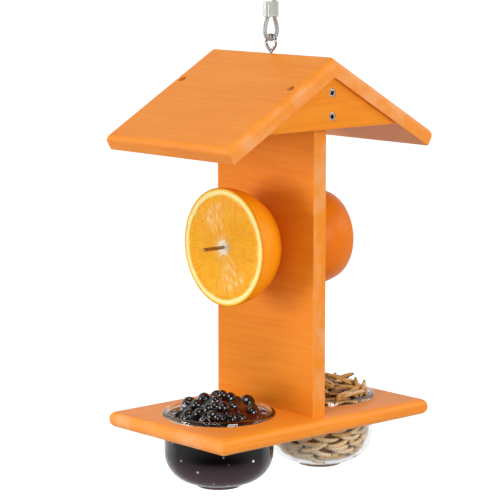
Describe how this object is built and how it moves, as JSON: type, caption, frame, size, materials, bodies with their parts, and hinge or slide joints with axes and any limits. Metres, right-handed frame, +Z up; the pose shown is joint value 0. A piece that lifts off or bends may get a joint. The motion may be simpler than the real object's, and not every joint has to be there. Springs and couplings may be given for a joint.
{
  "type": "oriole feeder",
  "caption": "Hanging wooden bird feeder: roofed post on a base board with glass cups of jelly and mealworms, orange halves on a skewer, and a cable hanger.",
  "frame": {"origin": "the point inside the top of the cable's upper loop where a hook bears", "axes": "+X along the roof's ridge and across the post board, +Y along the base board towards the mealworm cup, +Z up"},
  "size_m": [0.144, 0.218, 0.4696],
  "materials": {
    "stained_wood": "orange cedar stain, satin, fine straight grain",
    "zinc_steel": "zinc plated screw heads",
    "bright_steel": "polished rod",
    "orange_fruit": "cut citrus flesh, wet, with a cream pith and a dimpled peel",
    "clear_glass": "clear pressed glass",
    "grape_jelly": "wet dark purple jelly",
    "berry_skin": "wet near-black skin",
    "mealworm_skin": "dried golden brown skin with ring marks",
    "cable_coat": "smooth grey coat over wire rope",
    "ferrule_metal": "bright, pressed"
  },
  "bodies": {
    "hanger": {"hanging_cable": "cable_coat", "lower_ferrule": "ferrule_metal", "upper_ferrule": "ferrule_metal"},
    "feeder": {"base_board": "stained_wood", "post_board": "stained_wood", "gable_block_right": "stained_wood", "gable_block_left": "stained_wood", "roof_board_front": "stained_wood", "roof_board_back": "stained_wood", "gable_screws_right": "zinc_steel", "gable_screws_left": "zinc_steel", "roof_screws_front": "zinc_steel", "roof_screws_back": "zinc_steel", "base_screws": "zinc_steel", "fruit_skewer": "bright_steel", "orange_half_front": "orange_fruit", "orange_half_back": "orange_fruit", "glass_cup_front": "clear_glass", "glass_cup_back": "clear_glass", "grape_jelly": "grape_jelly", "whole_berries": "berry_skin", "dried_mealworms": "mealworm_skin", "screw_eye": "bright_steel"}
  },
  "joints": [
    {"name": "feeder_swing", "type": "hinge", "parent": "hanger", "child": "feeder", "pos_m": [0, 0, -0.1188], "axis": [1, 0, 0], "range_deg": [-90, 90]}
  ]
}
